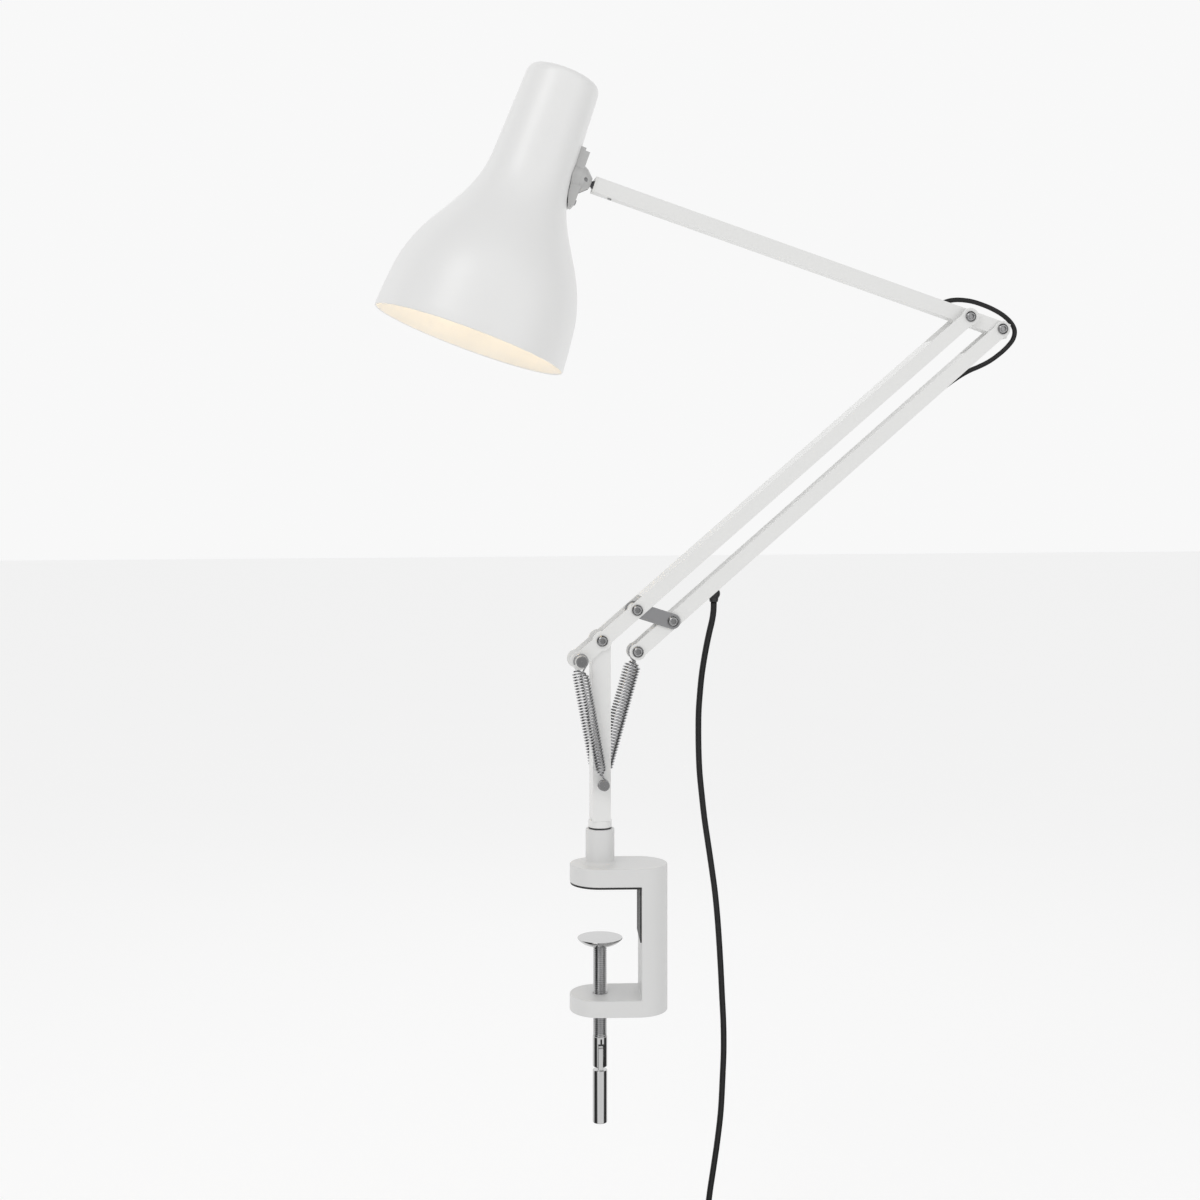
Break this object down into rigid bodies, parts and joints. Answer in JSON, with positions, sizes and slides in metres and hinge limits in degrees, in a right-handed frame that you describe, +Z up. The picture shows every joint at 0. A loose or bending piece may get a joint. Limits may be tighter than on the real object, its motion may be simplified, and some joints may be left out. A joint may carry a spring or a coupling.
{
  "type": "swing arm desk lamp",
  "caption": "Spring-balanced swing arm lamp with a bell shade on a parallel linkage, a turning stem and a screw clamp for a desk edge.",
  "frame": {"origin": "on the desk top surface, under the upper jaw pad, where the axis of the clamp post and screw meets it", "axes": "+Z up along the post, +X from the post towards the elbow in the plane of the arms, +Y towards the rear of that plane, where the nuts are"},
  "size_m": [0.473, 0.1396, 0.9756],
  "materials": {
    "clamp_cast": "satin light grey powder coat over cast metal",
    "soft_pad": "matt black moulded rubber",
    "black_plastic": "matt black moulding",
    "bright_steel": "bright nickel plate",
    "fastener": "stainless steel, lightly brushed",
    "spring_wire": "bright drawn spring wire",
    "white_paint": "satin white powder coat",
    "shade_white": "satin white paint on spun aluminium",
    "link_grey": "grey tumbled steel",
    "bracket_grey": "satin light grey casting",
    "knuckle_dark": "dark turned steel",
    "nylon": "white nylon",
    "holder_white": "white thermoset moulding",
    "bulb_glass": "opal glass, lit warm",
    "switch_black": "matt black moulding",
    "cable_black": "matt black flexible sheath",
    "tie_black": "matt black strap",
    "pin_metal": "plated brass"
  },
  "bodies": {
    "clamp": {"clamp_frame": "clamp_cast", "jaw_pad": "soft_pad", "post_bush": "black_plastic"},
    "clamp_pad": {"screw_pad": "bright_steel"},
    "clamp_screw_body": {"clamp_screw": "bright_steel", "handle_pin": "fastener"},
    "clamp_handle_body": {"clamp_handle": "bright_steel"},
    "stem": {"stem_spigot": "white_paint", "stem_channel": "white_paint", "spring_anchor": "fastener", "twin_spring_front": "spring_wire", "twin_spring_rear": "spring_wire"},
    "twin_spring_head": {"twin_spring_hooks": "spring_wire"},
    "lower_arm": {"lower_arm_channel": "white_paint", "stem_pivot_bolt": "fastener", "stem_pivot_nut": "fastener", "tail_studs": "fastener", "tail_bushes": "nylon", "elbow_bolt": "fastener", "elbow_nut": "fastener", "elbow_spacers": "nylon", "link_bolt": "fastener", "link_nut": "fastener", "link_spacer": "nylon"},
    "upper_arm": {"upper_arm_tube": "white_paint", "arm_end_cap": "nylon", "grub_screw": "fastener", "arm_cable": "cable_black"},
    "bar": {"arm_tail_bolt": "fastener", "arm_tail_nut": "fastener", "elbow_cable": "cable_black", "parallel_bar": "white_paint", "spring_bolt": "fastener", "spring_nut": "fastener", "spring_bush": "nylon", "bar_cable": "cable_black"},
    "link": {"link_plates": "link_grey", "link_end_bolt": "fastener", "link_end_nut": "fastener"},
    "single_spring_head": {"single_spring": "spring_wire"},
    "single_spring_mid": {"single_spring_lower": "spring_wire"},
    "single_spring_end": {"single_spring_foot": "spring_wire"},
    "cord_body": {"cord_grommet": "black_plastic", "cord": "cable_black", "cord_coil": "cable_black", "cord_tail": "cable_black", "coil_tie": "tie_black", "plug_body": "black_plastic", "plug_pins": "pin_metal"},
    "knuckle_body": {"knuckle": "knuckle_dark"},
    "shade": {"shade_bracket": "bracket_grey", "tilt_pin": "fastener", "bracket_screws": "fastener", "shade_shell": "shade_white", "lampholder": "holder_white", "lampholder_ring": "holder_white", "bulb": "bulb_glass", "switch_body": "switch_black"},
    "rocker": {"switch_rocker": "switch_black"}
  },
  "joints": [
    {"name": "clamp_pad_slide", "type": "slide", "parent": "clamp", "child": "clamp_pad", "axis": [0, 0, 1], "range_m": [-0.032, 0.018]},
    {"name": "clamp_screw_turn", "type": "hinge", "parent": "clamp_pad", "child": "clamp_screw_body", "pos_m": [0, 0, -0.08], "axis": [0, 0, 1], "range_deg": [-7690, 4330]},
    {"name": "clamp_handle_fold", "type": "hinge", "parent": "clamp_screw_body", "child": "clamp_handle_body", "pos_m": [0, 0, -0.117], "axis": [1, 0, 0], "range_deg": [-90, 90]},
    {"name": "stem_swivel", "type": "hinge", "parent": "clamp", "child": "stem", "pos_m": [0, 0, 0.03], "axis": [0, 0, 1], "continuous": true},
    {"name": "lower_arm_lift", "type": "hinge", "parent": "stem", "child": "lower_arm", "pos_m": [0, 0, 0.1725], "axis": [0, -1, 0], "range_deg": [-15, 42]},
    {"name": "twin_spring_stretch", "type": "slide", "parent": "stem", "child": "twin_spring_head", "axis": [0.8168, 0, -0.5769], "range_m": [-0.0065, 0.0175], "deforming": ["twin_spring_front", "twin_spring_rear", "twin_spring_hooks"]},
    {"name": "upper_arm_lift", "type": "hinge", "parent": "lower_arm", "child": "upper_arm", "pos_m": [0.27415, 0, 0.40582], "axis": [0, -1, 0], "range_deg": [-34, 15]},
    {"name": "parallel_bar_turn", "type": "hinge", "parent": "upper_arm", "child": "bar", "pos_m": [0.30034, 0, 0.39742], "axis": [0, -1, 0], "range_deg": [-15, 34], "deforming": ["elbow_cable"]},
    {"name": "link_turn", "type": "hinge", "parent": "lower_arm", "child": "link", "pos_m": [0.02513, 0, 0.19389], "axis": [0, -1, 0], "range_deg": [-34, 15]},
    {"name": "single_spring_head_turn", "type": "hinge", "parent": "bar", "child": "single_spring_head", "pos_m": [0.02618, 0, 0.16409], "axis": [0, -1, 0], "range_deg": [-42, 15]},
    {"name": "single_spring_shift", "type": "slide", "parent": "single_spring_head", "child": "single_spring_mid", "axis": [-0.506, 0, -0.8625], "range_m": [-0.0165, 0.0075], "deforming": ["single_spring", "single_spring_lower"]},
    {"name": "single_spring_stretch", "type": "slide", "parent": "single_spring_mid", "child": "single_spring_end", "axis": [-0.05, 0, -0.9987], "range_m": [-0.0075, 0.0205], "deforming": ["single_spring_foot"]},
    {"name": "cord_hang", "type": "hinge", "parent": "bar", "child": "cord_body", "pos_m": [0.083, 0, 0.2045], "axis": [0, -1, 0], "range_deg": [-42, 15], "deforming": ["cord"]},
    {"name": "shade_roll", "type": "hinge", "parent": "upper_arm", "child": "knuckle_body", "pos_m": [-0.01149, 0, 0.49753], "axis": [0.9521, 0, -0.3057], "range_deg": [-90, 90]},
    {"name": "shade_tilt", "type": "hinge", "parent": "knuckle_body", "child": "shade", "pos_m": [-0.01149, 0, 0.49753], "axis": [0, -1, 0], "range_deg": [-40, 45]},
    {"name": "switch_rock", "type": "hinge", "parent": "shade", "child": "rocker", "pos_m": [-0.02628, 0, 0.56858], "axis": [0.9397, 0, -0.342], "range_deg": [0, 12]}
  ],
  "couplings": [
    {"joint": "clamp_screw_turn", "follows": "clamp_pad_slide", "rad_per_m": 4188.8},
    {"joint": "twin_spring_stretch", "follows": "lower_arm_lift", "m_per_rad": 0.0197},
    {"joint": "parallel_bar_turn", "follows": "upper_arm_lift", "ratio": -1},
    {"joint": "link_turn", "follows": "upper_arm_lift", "ratio": 1},
    {"joint": "single_spring_head_turn", "follows": "lower_arm_lift", "ratio": -1},
    {"joint": "single_spring_shift", "follows": "upper_arm_lift", "m_per_rad": 0.0269},
    {"joint": "single_spring_stretch", "follows": "lower_arm_lift", "m_per_rad": 0.02698},
    {"joint": "cord_hang", "follows": "lower_arm_lift", "ratio": -1}
  ]
}
